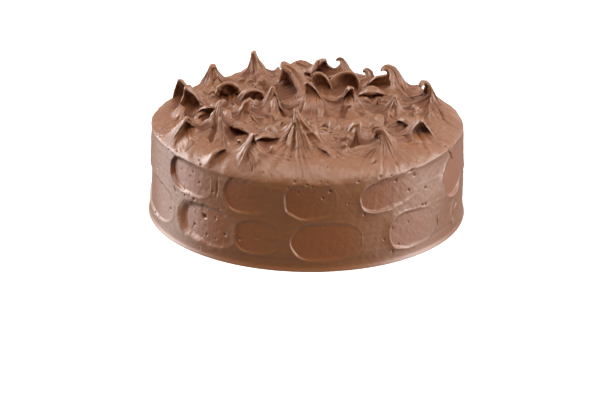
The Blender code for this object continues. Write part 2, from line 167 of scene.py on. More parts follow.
# The peaks: kind, place (x, y), height, foot radius, and the heading that the tip
# leans or opens towards, in degrees from +X, so that 270 faces the viewer.
PEAKS = (
    # along the front edge
    ("cowl", -75, -50, 14, 15, 280),
    ("arch", -53, -78, 7, 8, 300),
    ("loop", -33, -82, 16, 12, 310),
    ("tent", -5, -64, 25, 20, 60),
    ("hook", 43, -65, 17, 18, 195),
    ("cowl", 69, -48, 15, 13, 292),
    # front half, between the edge and the middle
    ("fin", -53, -44, 25, 14, 10),
    ("fold", -42, -51, 8, 9.5, 232),
    ("fold", -22, -67, 7, 8, 275),
    ("arch", 9, -52, 5, 6, 255),
    ("spire", 29, -52, 10, 10, 240),
    ("mound", 33, -32, 6, 15, 270),
    ("fold", 60, -32, 6, 9, 215),
    # across the middle
    ("fold", -59, -15, 8, 10, 235),
    ("hook", -37, -20, 16, 12, 0),
    ("tent", -22, -8, 17, 11.5, 30),
    ("loop", 5, -7, 21, 15, 250),
    ("loop", 24.5, -5, 19, 16, 266),
    ("hook", 77, 6, 26, 14, 190),
    ("tent", 54, -6, 14, 12, 240),
    # back half
    ("hood", -81, 11, 18, 9.5, 245),
    ("hood", -74, 0, 17, 11.5, 258),
    ("arch", -52, 18, 14, 13, 272),
    ("arch", -35, 9, 11, 9, 290),
    ("spire", -31, 34, 10, 11, 270),
    ("hood", -12, 28, 24, 19, 215),
    ("arch", 9, 31, 14, 9, 268),
    ("arch", 26, 33, 15, 11, 258),
    ("fold", 42, 17, 5, 8, 268),
    ("arch", 45, 34, 14, 9, 262),
    ("hook", 55, 33, 25, 19, 180),
    # along the back edge
    ("spire", -65, 53, 15, 15, 270),
    ("spire", -37, 70, 21, 16, 180),
    ("mound", -6, 76, 10, 17, 270),
    ("hook", -2, 53, 11, 12, 300),
    ("hood", 8, 68, 14, 14, 300),
    ("hook", 24, 72, 17, 14, 180),
    ("hook", 41, 55, 14, 12, 185),
    ("tent", 74, 38, 6, 11, 300),
)

# Sunken hollows between the peaks: place (x, y), half width, half depth, how deep,
# and the heading of the half width.
HOLLOW_SQUARENESS = 1.6
HOLLOWS = (
    (-12.8, -16.7, 5.4, 2.8, 6, 338),
    (5.4, -47, 4.5, 3.2, 7, 297),
    (18, -38, 5, 3, 5, 335),
    (38, -53, 5, 4, 6, 20),
    (28, -63, 5, 3.5, 5, 80),
    (-20, -53, 8, 2.6, 5, 43),
    (72, -20, 4, 3, 3, 330),
)

# Palette-knife presses round the wall: bearing of the middle in degrees from the
# front, its height, half length, half height and tilt in degrees, and at its left end
# the depth, the width of the step down and the height of the lip outside it.
PRESSES = (
    (-44.5, 45.5, 18.5, 10.5, -3, 2.2, 0.7, 0.3),
    (-20, 43.5, 14.7, 11.0, 0, 0.5, 0.7, 0.45),
    (1.3, 42.8, 14.8, 11.0, 0, 0.5, 0.7, 0.5),
    (30, 44.3, 20.5, 9.6, 9, 0.3, 0.6, 1.1),
    (66, 43.0, 20, 13.0, 28, 0.5, 0.6, 1.0),
    (88, 44.0, 17, 10.5, 6, 0.6, 1.0, 0.6),
    (113, 42.0, 18, 10.0, -4, 0.6, 1.0, 0.6),
    (139, 44.0, 16, 10.5, 3, 0.6, 1.0, 0.6),
    (165, 43.0, 19, 10.0, 0, 0.7, 1.0, 0.6),
    (192, 44.5, 16, 10.5, 5, 0.6, 1.0, 0.6),
    (219, 42.5, 18, 10.0, -3, 0.7, 1.0, 0.6),
    (243, 44.0, 15, 10.5, 0, 0.6, 1.0, 0.6),
    (267, 42.5, 17, 10.0, 4, 0.6, 1.0, 0.6),
    (-72, 20.0, 34, 13.5, 0, 0.4, 1.5, 0.2),
    (-37, 19.5, 22.5, 13.0, 0, 2.6, 8.0, 0.2),
    (-16.6, 19.0, 13.3, 10.2, 2, 0.4, 0.7, 0.4),
    (6.8, 18.0, 20.4, 12.0, 0, 0.5, 0.7, 0.45),
    (39.5, 18.2, 18.5, 11.8, -3, 0.3, 0.6, 1.2),
    (70, 15.0, 14, 12.0, -8, 0.4, 0.6, 1.0),
    (96, 18.0, 18, 12.0, 3, 0.6, 1.0, 0.6),
    (124, 19.0, 19, 11.5, -2, 0.7, 1.0, 0.6),
    (151, 17.0, 17, 12.5, 4, 0.6, 1.0, 0.6),
    (178, 19.0, 20, 12.0, -3, 0.6, 1.0, 0.6),
    (206, 18.0, 16, 12.0, 2, 0.7, 1.0, 0.6),
    (232, 18.5, 19, 12.5, 0, 0.6, 1.0, 0.6),
    (256, 17.5, 14, 11.5, -4, 0.6, 1.0, 0.6),
)
PRESS_SQUARENESS = 2.6
PRESS_MIDDLE = 0.05
PRESS_FLATNESS = 0.2
PRESS_RISE = 2.0
PRESS_STEP = 2.5
PRESS_ENTRY = (-0.9, 0.3)
PRESS_ENTRY_SLANT = 0.2
PRESS_WOBBLE = 0.45
PRESS_WOBBLE_LENGTH = 9.0
PRESS_LIP = 0.18
PRESS_LIP_PLACE = 0.3
PRESS_LIP_INNER = 0.4
PRESS_LIP_OUTER = (0.5, 2.6)

# Small seeded crags that fill the gaps between the peaks. Their tallness and their
# clearance are shares of a foot radius.
CRAG_KINDS = ("hook", "tent", "fold", "hood")
CRAG_TRIES = 900
CRAG_REACH = 80.0
CRAG_FOOT = (3.0, 6.5)
CRAG_TALLNESS = (0.6, 1.1)
CRAG_CLEARANCE = 0.75

# Fine relief, in millimetres: streaks that run out from each peak
STREAK_REACH = 2.0
STREAK_DEPTH = 0.60
STREAK_COUNTS = (14, 46)
STREAK_START = (0.12, 0.45)

# Raised folds and grooves between the peaks. A row has the length of the waves whose
# zero lines they follow, how wide they are, the length of the waves that say where they
# are, and the value of those waves from which they rise. They are full at CREASE_FULL.
CREASE_DRIFT = 1.5
CREASE_FULL = 0.5
CREASE_FADE = (70.0, 88.0)
BROAD_RIDGES = (17.0, 0.12, 31.0, -0.2)
FINE_RIDGES = (9.0, 0.14, 24.0, -0.2)
GROOVES = (15.0, 0.10, 28.0, -0.1)
FINE_RIDGE_SHARE = 0.5
RIDGE_HEIGHT = 1.55
GROOVE_DEPTH = 2.2

# Grain of the whole skin, drag lines in the presses, strokes between them and lumps on
# the shoulder. The lump's place and spread are shares of the shoulder.
WALL_GRAIN_SHARE = 0.35
LUMP_DEPTH = 0.16
LUMP_LENGTH = 5.5
CRUMB_DEPTH = 0.10
CRUMB_LENGTH = 2.4
DRAG_DEPTH = 0.015
DRAG_COUNTS = (150, 380)
STROKE_DEPTH = 0.05
STROKE_LENGTH = 3.2
STROKE_SQUEEZE = 0.08
SHOULDER_LUMP = 0.28
SHOULDER_LUMP_LENGTH = 11.0
SHOULDER_LUMP_PLACE = 0.7
SHOULDER_LUMP_SPREAD = 0.2
IN_PRESS = (0.05, 0.35)
ABOVE_FOOT = (0.5, 5.0)
SETTLE_ROUNDS = 2

# Where each mask of the materials begins and where it is full, in millimetres, apart
# from the slant, which is the upward share of the normal. The deep mask is painted shade
# in hollows, creases, slopes that turn away from facing up, and torn spots; the crest mask
# is a painted highlight on bulging crests.
SHADE_SMOOTHING_ROUNDS = 120
SHADE_LOWERED = (0.1, 3.0)
SHADE_CREASED = (0.04, 0.35)
SHADE_SLANT = (0.2, -0.5)
SHADE_SIGN_SHARES = (0.9, 0.75, 0.4)
SHADE_HEIGHT = (30.0, 58.0)
SHADE_TORN = (0.2, 1.0)
CREST_ROUNDS = 6
HIGHLIGHT_BULGE = (0.05, 0.45)
PRESSED_DEPTH = (0.05, 0.4)

# Dark slits between the folds, in the same columns as the hollows
SLITS = (
    (-57.5, -49, 9, 1.3, 6, 275),
    (10.8, -32, 3.8, 1.4, 4, 288),
    (38, -82.6, 2.6, 1.0, 2.2, 40),
    (85.5, -5.3, 4.2, 1.0, 2.0, 291),
    (-36.4, -63.6, 5.4, 1.5, 4, 66),
    (-68.8, -61.6, 3.1, 1.0, 1.8, 53),
    (47, -28, 6, 1.2, 4, 80),
    (52, 8, 6, 1.2, 4, 320),
    (14, 6, 5, 1.2, 4, 250),
    (-44, -2, 5, 1.3, 4, 30),
    (-3, 40, 6, 1.3, 4, 300),
)

# Cracks and torn spots on the wall: bearing in degrees from the front, height, half
# length, half width, depth and tilt in degrees
WALL_TEARS = (
    (-37, 24.5, 1.7, 1.1, 1.5, -20),
    (-28, 17, 0.9, 0.8, 0.9, 30),
    (-31.5, 44, 5.0, 0.6, 0.7, 86),
    (-52, 34, 3.0, 0.6, 0.6, -45),
    (-69, 7, 1.1, 0.9, 1.2, 0),
    (38, 54.5, 2.4, 0.7, 1.0, 12),
    (51.5, 15, 3.6, 0.6, 0.7, 88),
    (64, 22, 2.0, 1.0, 1.3, -35),
    (67, 17, 2.4, 1.0, 1.5, 40),
    (64, 11, 2.8, 0.8, 1.1, 75),
    (55.5, 40, 5.0, 0.7, 0.9, 100),
    (62, 52, 6.0, 0.7, 0.9, 130),
    (104, 30, 3.0, 0.7, 0.9, 60),
    (131, 12, 1.5, 0.9, 1.1, 10),
    (158, 31, 3.5, 0.7, 0.8, 100),
    (186, 52, 2.5, 0.8, 1.0, 15),
    (214, 9, 1.6, 1.0, 1.2, 30),
    (239, 32, 3.0, 0.7, 0.8, 70),
    (266, 27, 1.2, 0.9, 1.2, 0),
)
TEAR_RAGGEDNESS = 0.35
TEAR_RAG_LENGTH = 2.2

# Burst air bubbles: bearing and way along the surface of a patch's middle, its
# spread and how many holes it has.
HOLE_PATCHES = (
    (-72, 88, 6, 14),
    (-58, 92, 8, 16),
    (-40, 96, 7, 10),
    (66, 90, 7, 12),
    (48, 93, 7, 8),
    (0, 92, 14, 10),
    (-22, 98, 8, 16),
    (6, 98, 9, 18),
    (32, 97, 8, 14),
    (-43, 118, 9, 10),
    (-37, 140, 12, 18),
    (-18, 138, 10, 8),
    (31, 118, 14, 8),
    (40, 145, 14, 10),
    (120, 92, 24, 14),
    (180, 92, 24, 14),
    (240, 92, 24, 14),
    (110, 130, 24, 16),
    (170, 130, 24, 16),
    (230, 130, 24, 16),
    (290, 130, 24, 16),
)
HOLE_RADIUS = (0.35, 0.95)
HOLE_DEPTH = 0.8
HOLE_SQUARENESS = 4
HOLE_REACH = 2.5

# The buttercream's colours, and how much of each a mask brings in
MILK_BROWN = (0.152, 0.049, 0.008, 1.0)
WARM_BROWN = (0.135, 0.038, 0.006, 1.0)
# The pale brown is a random speckle of the frosting, and on crests a painted highlight.
PALE_SPECKLE_AND_HIGHLIGHT = (0.185, 0.074, 0.026, 1.0)
PRESS_BROWN = (0.168, 0.041, 0.004, 1.0)
# The darkest brown is painted shade for the deep places, the torn spots and the pinholes.
PAINTED_SHADE_BROWN = (0.080, 0.018, 0.003, 1.0)
SPECKLE = 0.30
PRESS_SHARE = 0.6
PAINTED_HIGHLIGHT_SHARE = 0.45
PAINTED_SHADE_SHARE = 0.75
HOLE_SHADE_SHARE = 0.5

# Its gloss, the light that it carries under the skin, and its noises in waves a metre
SHEEN = 1.0
SHADE_MASK_DULLNESS = 0.40
UNDER_SKIN_SHARE = 0.12
UNDER_SKIN_REACH = (1.0, 0.42, 0.24)
UNDER_SKIN_SCALE = 0.0016
MOTTLE_NOISE = {"Scale": 38.0, "Detail": 3.0, "Roughness": 0.55}
SPECKLE_NOISE = {"Scale": 420.0, "Detail": 3.0, "Roughness": 0.6}
HOLE_PATCH_NOISE = {"Scale": 60.0, "Detail": 1.0}
TOOTH_NOISE = {"Scale": 900.0, "Detail": 4.0, "Roughness": 0.65}
TOOTH_DULLNESS = 0.16
TOOTH_HEIGHT = 0.35
PINHOLE_ROUNDNESS = 0.5
BUMP = {"Strength": 0.55, "Distance": 0.00035}

# The pulled and the smoothed frosting: cells with a pinhole in a metre, the pinhole's
# radius as a share of a cell, and the roughness
PULLED_LOOK = (420.0, 0.16, 0.49)
SMOOTHED_LOOK = (300.0, 0.17, 0.44)

# Sockets of a Mix node of colours, which have the same names: its factor, its two
# colours and its result
MIX_INPUTS = (0, 6, 7)
MIX_RESULT = 2

# The room
FLOOR_WHITE = (0.86, 0.86, 0.86, 1.0)
FLOOR_ROUGHNESS = 0.8
FLOOR_BOUNCE = (0.33, 0.33, 0.33, 1.0)
FLOOR_SHINE = 0.35
FLOOR_REACH = 1.05
ROOM_COLOUR = (1.0, 1.0, 1.0, 1.0)
ROOM_STRENGTH = 0.06

# Soft lights: name, place in metres, side in metres, power in watts, and whether the
# frosting's gloss reflects it
SOFT_LIGHTS = (
    ("left_window", (-1.22, 0.34, 0.36), 1.05, 35.0, True),
    ("right_window", (1.26, -0.22, 0.36), 1.0, 27.0, True),
    ("right_back", (0.95, 0.90, 0.40), 0.9, 4.5, True),
    ("back_panel", (0.0, 1.15, 1.05), 1.6, 7.0, True),
    ("overhead", (0.0, -0.42, 1.35), 1.2, 16.0, True),
    ("front_high", (0.0, -0.9, 1.5), 0.8, 25.0, False),
)
LIGHT_AIM = (0.0, 0.0, 0.05)

# The photo's camera, from the rims of the cake: distance in metres, angles in
# degrees, and the focal length and the picture's centre in pixels of its 600 wide frame.
CAMERA_DISTANCE = 0.80
CAMERA_ELEVATION = 23.22
CAMERA_ROLL = 0.74
FOCAL_PIXELS = 1214.6
PHOTO_WIDTH = 600.0
CENTRE_RIGHT = 6.4
CENTRE_DOWN = 2.24
SENSOR_WIDTH = 36.0
NEAREST = 0.01


def ease(low, high, value):
    """0 below low, 1 above high, and a smooth S between them."""
    t = np.clip((value - low) / (high - low), 0.0, 1.0)
    return t * t * (3.0 - 2.0 * t)


def ripples(x, y, length, seed):
    """Smooth unevenness from -1 to 1: plane waves near one wavelength, in seeded directions."""
    draw = np.random.RandomState(seed)
    total = np.zeros_like(x)
    low, high = (0, 0, RIPPLE_STRETCH[0]), (np.pi, 2 * np.pi, RIPPLE_STRETCH[1])
    for heading, phase, stretch in draw.uniform(low, high, (RIPPLE_WAVES, 3)):
        turns = 2 * np.pi / (length * stretch)
        total += np.cos(turns * (x * np.cos(heading) + y * np.sin(heading)) + phase)
    return total / RIPPLE_WAVES**0.5 / RIPPLE_SPAN


def body_profile(way, bearing):
    """Radius and height of the plain skin at a way along it from the middle of the top.

    The top is a low dome, the shoulder a superellipse and the wall a straight line
    that leans out to a thin lip at the foot.
    """
    dip = FRONT_DIP * np.exp(-((np.degrees(bearing) / FRONT_DIP_BEARING) ** 2))
    wall_top = WALL_TOP_HEIGHT - dip + WALL_TOP_WAVE * np.cos(WALL_TOP_WAVES * bearing)

    inward = np.clip(way / CROWN_RADIUS, 0.0, 1.0)
    turn = np.clip((way - CROWN_RADIUS) / SHOULDER_WAY, 0.0, 1.0) * np.pi / 2
    power = 2 / SHOULDER_FULLNESS
    down = np.clip((way - CROWN_RADIUS - SHOULDER_WAY) / WALL_TOP_HEIGHT, 0.0, 1.0)

    radius = np.minimum(way, CROWN_RADIUS)
    radius = radius + (WALL_TOP_RADIUS - CROWN_RADIUS) * np.sin(turn) ** power
    radius = radius + (FOOT_RADIUS - WALL_TOP_RADIUS) * down
    height = wall_top + (CROWN_HEIGHT - wall_top) * np.abs(np.cos(turn)) ** power
    height = height * (1 - down) + DOME_RISE * (1 - inward**2)
    lip = FOOT_LIP * np.exp(-((height / FOOT_LIP_HEIGHT) ** 2))
    return radius + lip, height


def spine(height, kind, rise):
    """Way along the heading, height and slant of a peak's spine at each share of its length.

    The slant from upright grows with the lean and then with the curl, and the
    spine is the running sum of steps in its direction.
    """
    steps = np.linspace(0.0, 1.0, SPINE_STEPS)
    slant = np.radians(kind["lean"] * steps + kind["curl"] * ease(kind["bend"], 1.0, steps))
    stride = height / (SPINE_STEPS - 1)
    mean_slant = (slant[1:] + slant[:-1]) / 2
    ahead = np.concatenate(([0.0], np.cumsum(np.sin(mean_slant) * stride)))
    up = np.concatenate(([0.0], np.cumsum(np.cos(mean_slant) * stride)))
    return [np.interp(rise, steps, values) for values in (ahead, up, slant)]


def wander(flat):
    """A slow sideways drift of the skin, which makes the peaks' feet uneven."""
    x, y = flat[:, 0], flat[:, 1]
    drifts = [ripples(x, y, WANDER_LENGTH, seed) for seed in SEEDS["wander"]]
    return WANDER * np.column_stack(drifts)


def pleats(angle, kind, draw):
    """Unevenness round a peak, from -1 in a groove to about 1 on a ridge of two sets of folds."""
    phases = draw.uniform(0, 2 * np.pi, 3)
    turned = angle + FOLD_SKEW * np.sin(angle + phases[0])
    broad = np.abs(np.cos(kind["folds"] * turned / 2 + phases[1]))
    narrow = np.abs(np.cos((kind["folds"] + EXTRA_FOLDS) * turned / 2 + phases[2]))
    return FOLD_SPAN * (BROAD_SHARE * broad + (1 - BROAD_SHARE) * narrow) - 1.0


def pull_peak(flat, drifted, peak, number):
    """Shift of the skin points by one peak, their rise from its foot, and its skirt.

    Rings of points round the foot climb the spine and close in on it. Their inner
    half is pressed back by the kind's hollow, which turns a round shaft into a
    curled sheet, and folds run up them from the foot to the tip. The rise is 0 at
    the foot and 1 at the tip. The skirt is the low swell round the foot, scooped out
    in front of a hollow peak.
    """
    name, x, y, height, foot, heading = peak
    kind = KINDS[name]
    draw = np.random.RandomState(SEEDS["peak"] + number)
    ahead = np.array((np.cos(np.radians(heading)), np.sin(np.radians(heading))))
    aside = np.array((-ahead[1], ahead[0]))
    middle = np.array([(x, y)], float)
    offset = flat - middle + drifted - wander(middle)
    along, across = offset @ ahead, offset @ aside
    reach = np.where(along > 0, kind["ahead"], kind["behind"]) * foot
    breadth = kind["sides"] * foot
    out = np.hypot(along / reach, across / breadth)
    angle = np.arctan2(across / breadth, along / reach)

    inner = np.clip(out, 0.0, 1.0)
    rise = (1 - inner**RISE_POWER) ** RISE_SHARPNESS
    to_tip = np.clip(1 - inner - TIP_START, 0, 1) / (1 - TIP_START)
    tapered = np.sqrt(np.clip(1 - to_tip**2, 0, 1))
    edge = kind["edge"] * ease(0.0, EDGE_START, rise) * tapered
    folds = pleats(angle, kind, draw)
    swell = 1 + kind["depth"] * ease(0.0, FOLD_START, rise) * folds

    opened = ease(kind["opens"], kind["opens"] + HOLLOW_EASE, rise)
    pressed = np.where(np.cos(angle) < 0, 0.0, kind["hollow"] * opened)
    from_rim = 90 - np.degrees(np.abs(angle))
    rim = edge * np.sin(np.pi * np.clip(from_rim / RIM_WIDTH, 0.0, 1.0))
    sunk = HOLLOW_DEPTH * kind["behind"] * foot * inner ** kind["along"]
    sunk = sunk * ease(*HOLLOW_WALL, from_rim)
    narrowing = inner ** kind["across"] * (kind["full"] - (kind["full"] - 1) * inner)
    round_front = (reach * inner ** kind["along"] * swell + edge) * np.cos(angle)
    thick = (1 - pressed) * round_front + pressed * (rim - sunk)
    wide = (breadth * narrowing * swell + edge) * np.sin(angle)
    wide = wide + DRIFT * draw.uniform(-1, 1) * height * rise**2
    start = ease(0.0, ROUND_START, rise)
    thick = start * thick + (1 - start) * along
    wide = start * wide + (1 - start) * across

    spine_ahead, spine_up, slant = spine((1 - SKIRT_SHARE) * height, kind, rise)
    along_to = spine_ahead + thick * np.cos(slant)
    up_to = spine_up - thick * np.sin(slant)
    shift = np.outer(along_to - along, ahead) + np.outer(wide - across, aside)
    inside = out < 1
    shift = np.column_stack((shift, up_to)) * inside[:, None]

    near = np.hypot(along, across) / (SKIRT_REACH * foot)
    skirt = SKIRT_SHARE * height * np.exp(-(near**2)) * (1 + SKIRT_FOLDS * folds)
    scoop_ahead = SCOOP_AHEAD * foot
    in_front = np.hypot(along - scoop_ahead, SCOOP_NARROWNESS * across) / scoop_ahead
    scooped = 1 - ease(*SCOOP_END, rise * (along < 0))
    skirt -= kind["scoop"] * height * np.exp(-(in_front**2)) * scooped
    return shift, rise * inside, skirt


def pull_peaks(flat, peaks):
    """Shift of the skin points by all peaks: the peak that lifts a point higher counts more."""
    total = np.zeros((len(flat), 3))
    weights = np.full(len(flat), 1e-9)
    skirts = np.zeros(len(flat))
    drifted = wander(flat)
    for number, peak in enumerate(peaks):
        away = np.hypot(flat[:, 0] - peak[1], flat[:, 1] - peak[2])
        near = np.nonzero(away < PEAK_REACH * peak[4])[0]
        shift, rise, skirt = pull_peak(flat[near], drifted[near], peak, number)
        weight = (rise * peak[3]) ** NEIGHBOUR_SHARPNESS
        total[near] += shift * weight[:, None]
        weights[near] += weight
        skirts[near] += skirt
    total /= weights[:, None]
    total[:, 2] += skirts
    return total


def sink_hollows(flat, hollows):
    """Depth of the hollows between the peaks: a steep-sided oval dish each."""
    depth = np.zeros(len(flat))
    for x, y, half_width, half_depth, deep, heading in hollows:
        turn = np.radians(heading)
        dx, dy = flat[:, 0] - x, flat[:, 1] - y
        u = (dx * np.cos(turn) + dy * np.sin(turn)) / half_width
        v = (dy * np.cos(turn) - dx * np.sin(turn)) / half_depth
        depth += deep * np.exp(-((u**2 + v**2) ** HOLLOW_SQUARENESS))
    return depth


def press_wall(bearing, height):
    """How far the wall is pressed in, with the lips that the knife raised as negative depths.

    Each press is a rounded oblong with a nearly flat floor and an uneven outline. It is
    deepest at its left end, where the knife went in and raised a lip that runs out
    gently over the wall, and it rises to the level of the wall at its right end.
    """
    depth = np.zeros_like(bearing)
    wobble = (PRESS_WOBBLE_LENGTH, SEEDS["press outline"])
    uneven = PRESS_WOBBLE * ripples(WALL_TOP_RADIUS * bearing, height, *wobble)
    for middle, level, half_length, half_height, tilt, deep, left_step, left_lip in PRESSES:
        turn = np.radians(tilt)
        gap = (np.degrees(bearing) - middle + 180) % 360 - 180
        dx, dz = np.radians(gap) * WALL_TOP_RADIUS, height - level
        u = (dx * np.cos(turn) + dz * np.sin(turn)) / half_length
        v = (dz * np.cos(turn) - dx * np.sin(turn)) / half_height
        edge = np.abs(u) ** PRESS_SQUARENESS + np.abs(v) ** PRESS_SQUARENESS
        edge = edge ** (1 / PRESS_SQUARENESS)
        beyond = (1 - 1 / np.maximum(edge, PRESS_MIDDLE)) * np.hypot(dx, dz) + uneven
        entry = 1 - ease(*PRESS_ENTRY, u + PRESS_ENTRY_SLANT * v)
        step = PRESS_STEP + (left_step - PRESS_STEP) * entry
        lip = PRESS_LIP + (left_lip - PRESS_LIP) * entry
        outer = PRESS_LIP_OUTER[0] + (PRESS_LIP_OUTER[1] - PRESS_LIP_OUTER[0]) * entry
        floor = 1 - ease(-1.0, 0.0, beyond / step)
        chord = half_length**2 - np.minimum(dx**2, half_length**2)
        sagitta = chord / (2 * WALL_TOP_RADIUS)
        to_left = np.clip((1 - u) / 2, 0.0, 1.0) ** PRESS_RISE
        depth += floor * (deep * to_left + PRESS_FLATNESS * sagitta)
        from_lip = beyond - PRESS_LIP_PLACE
        inner = (from_lip / PRESS_LIP_INNER) ** 2
        fall = np.where(from_lip < 0, inner, np.abs(from_lip) / outer)
        depth -= lip * np.exp(-fall)
    return depth


def disc_sheet(cells):
    """Places in the unit disc for a square of cells: each square ring becomes a round one."""
    steps = np.linspace(-1.0, 1.0, cells + 1)
    a, b = (side.ravel() for side in np.meshgrid(steps, steps))
    ring = np.maximum(np.abs(a), np.abs(b))
    wide = np.abs(a) >= np.abs(b)
    longer = np.where(wide, a, b)
    share = np.where(wide, b, a) / np.where(ring > 0, longer, 1.0)
    angle = np.where(wide, share, 2 - share) * np.pi / 4 + np.where(longer < 0, np.pi, 0.0)
    return np.column_stack((ring * np.cos(angle), ring * np.sin(angle)))


def disc_edge(cells):
    """Numbers of the sheet's outer points, once round anticlockwise."""
    row = cells + 1
    return np.concatenate((
        np.arange(cells),
        cells + row * np.arange(cells),
        row * cells + cells - np.arange(cells),
        row * (cells - np.arange(cells)),
    ))


def settle_on_peaks(flat, spacing):
    """Gathers the sheet's points towards each peak, then puts each tip on one of them."""
    middles = np.array([peak[1:3] for peak in PEAKS], float)
    for middle, peak in zip(middles, PEAKS):
        offset = flat - middle
        near = np.exp(-(np.sum(offset**2, axis=1) / peak[4] ** 2))
        flat = flat - GATHER * near[:, None] * offset
    for middle in middles:
        away = np.hypot(*(flat - middle).T)
        pull = np.exp(-((away / (TIP_PULL * spacing)) ** 2))
        flat = flat + np.outer(pull, middle - flat[np.argmin(away)])
    return flat


def lines_round(turns, slowest, fastest, seed):
    """Fine ridges round a full turn, from -1 to 1: seeded cosines with whole counts."""
    draw = np.random.RandomState(seed)
    total = np.zeros_like(turns)
    for count in draw.randint(slowest, fastest, LINE_WAVES):
        total += np.cos(count * turns + draw.uniform(0, 2 * np.pi))
    return total / LINE_WAVES**0.5 / LINE_SPAN


def drawn_streaks(flat):
    """Fine ridges that run out from every peak, weighed by its nearness and its height."""
    drifted = wander(flat)
    total = np.zeros(len(flat))
    weights = np.full(len(flat), 1e-6)
    for number, (_, x, y, height, foot, _) in enumerate(PEAKS):
        middle = np.array([(x, y)], float)
        offset = flat - middle + drifted - wander(middle)
        away = np.hypot(*offset.T)
        weight = height * np.exp(-((away / (STREAK_REACH * foot)) ** 2))
        turns = np.arctan2(offset[:, 1], offset[:, 0])
        ridges = lines_round(turns, *STREAK_COUNTS, SEEDS["streaks"] + number)
        start, full = (share * foot for share in STREAK_START)
        total += weight * ridges * ease(start, full, away)
        weights += weight
    return total / weights


def air_holes(flat):
    """Depth of the pits that burst air bubbles left: round dips seeded in each patch."""
    depth = np.zeros(len(flat))
    draw = np.random.RandomState(SEEDS["holes"])
    for bearing, way, spread, count in HOLE_PATCHES:
        turn = np.radians(bearing)
        middle = np.array((np.sin(turn), -np.cos(turn))) * way
        for _ in range(count):
            place = middle + draw.normal(0, spread, 2)
            size = draw.uniform(*HOLE_RADIUS)
            near = np.nonzero(np.abs(flat[:, 0] - place[0]) < HOLE_REACH * size)[0]
            away = np.hypot(*(flat[near] - place).T) / size
            depth[near] += HOLE_DEPTH * size * np.exp(-(away**HOLE_SQUARENESS))
    return depth


def wall_tears(bearing, height):
    """Depth of the cracks and torn spots on the wall: steep-sided ovals with ragged edges."""
    depth = np.zeros_like(bearing)
    rags = ripples(WALL_TOP_RADIUS * bearing, height, TEAR_RAG_LENGTH, SEEDS["tears"])
    ragged = 1 + TEAR_RAGGEDNESS * rags
    for middle, level, half_length, half_width, deep, tilt in WALL_TEARS:
        turn = np.radians(tilt)
        gap = (np.degrees(bearing) - middle + 180) % 360 - 180
        dx, dz = np.radians(gap) * WALL_TOP_RADIUS, height - level
        u = (dx * np.cos(turn) + dz * np.sin(turn)) / half_length
        v = (dz * np.cos(turn) - dx * np.sin(turn)) / half_width
        depth += deep * np.exp(-(((u**2 + v**2) * ragged) ** 2))
    return depth


def crease_bands(x, y, row, seeds):
    """Thin bands along the zero lines of slow waves, in patches where other waves are high."""
    length, width, patch_length, patch_start = row
    bands = np.exp(-np.abs(ripples(x, y, length, seeds[0])) / width)
    return bands * ease(patch_start, CREASE_FULL, ripples(x, y, patch_length, seeds[1]))


def creases(flat):
    """Height of the raised folds and the grooves that wander between the peaks."""
    x, y = (flat + CREASE_DRIFT * wander(flat)).T
    ridge = crease_bands(x, y, BROAD_RIDGES, SEEDS["broad ridges"])
    ridge += FINE_RIDGE_SHARE * crease_bands(x, y, FINE_RIDGES, SEEDS["fine ridges"])
    groove = crease_bands(x, y, GROOVES, SEEDS["grooves"])
    inner = 1 - ease(*CREASE_FADE, np.hypot(*flat.T))
    return inner * (RIDGE_HEIGHT * ridge - GROOVE_DEPTH * groove)


def small_crags():
    """Rows like those of the peaks for the small crags in the gaps between them."""
    draw = np.random.RandomState(SEEDS["crags"])
    crags = []
    for _ in range(CRAG_TRIES):
        bearing, way = draw.uniform(0, 2 * np.pi), CRAG_REACH * draw.uniform(0, 1) ** 0.5
        x, y = way * np.sin(bearing), -way * np.cos(bearing)
        foot = draw.uniform(*CRAG_FOOT)
        kind, tall = draw.choice(CRAG_KINDS), draw.uniform(*CRAG_TALLNESS)
        heading = draw.uniform(0, 360)
        clear = all(np.hypot(x - row[1], y - row[2]) > CRAG_CLEARANCE * row[4] for row in PEAKS)
        apart = all(np.hypot(x - row[1], y - row[2]) > row[4] + foot for row in crags)
        if clear and apart:
            crags.append((str(kind), x, y, tall * foot, foot, heading))
    return tuple(crags)


def grain(points, length, seed):
    """Smooth unevenness in space from -1 to 1: plane waves near one wavelength."""
    draw = np.random.RandomState(seed)
    total = np.zeros(len(points))
    for _ in range(GRAIN_WAVES):
        way = draw.normal(0, 1, 3)
        way *= 2 * np.pi / (length * draw.uniform(*GRAIN_STRETCH) * np.linalg.norm(way))
        total += np.cos(points @ way + draw.uniform(0, 2 * np.pi))
    return total / GRAIN_WAVES**0.5 / LINE_SPAN


def skin(flat):
    """The frosted skin at unrolled places, and how deep each point lies in a knife press."""
    way = np.hypot(flat[:, 0], flat[:, 1])
    bearing = np.arctan2(flat[:, 0], -flat[:, 1])
    radius, height = body_profile(way, bearing)
    wall_way = CROWN_RADIUS + SHOULDER_WAY
    on_top = 1 - ease(CROWN_RADIUS + TOP_EDGE_WAY, wall_way, way)
    on_wall = ease(*WALL_START_HEIGHT, height) * ease(*WALL_START_WAY, way - wall_way)

    swell = ripples(WALL_TOP_RADIUS * bearing, height, WALL_SWELL_LENGTH, SEEDS["wall swell"])
    press = press_wall(bearing, height)
    radius = radius + on_wall * (WALL_SWELL * swell - press)
    swell = ripples(flat[:, 0], flat[:, 1], TOP_SWELL_LENGTH, SEEDS["top swell"])
    height = height + on_top * (TOP_SWELL * swell - sink_hollows(flat, HOLLOWS + SLITS))
    plain = np.column_stack((radius * np.sin(bearing), -radius * np.cos(bearing), height))
    peaked = plain + on_top[:, None] * pull_peaks(flat, PEAKS + small_crags())
    return peaked, on_wall * np.clip(press, 0, None)


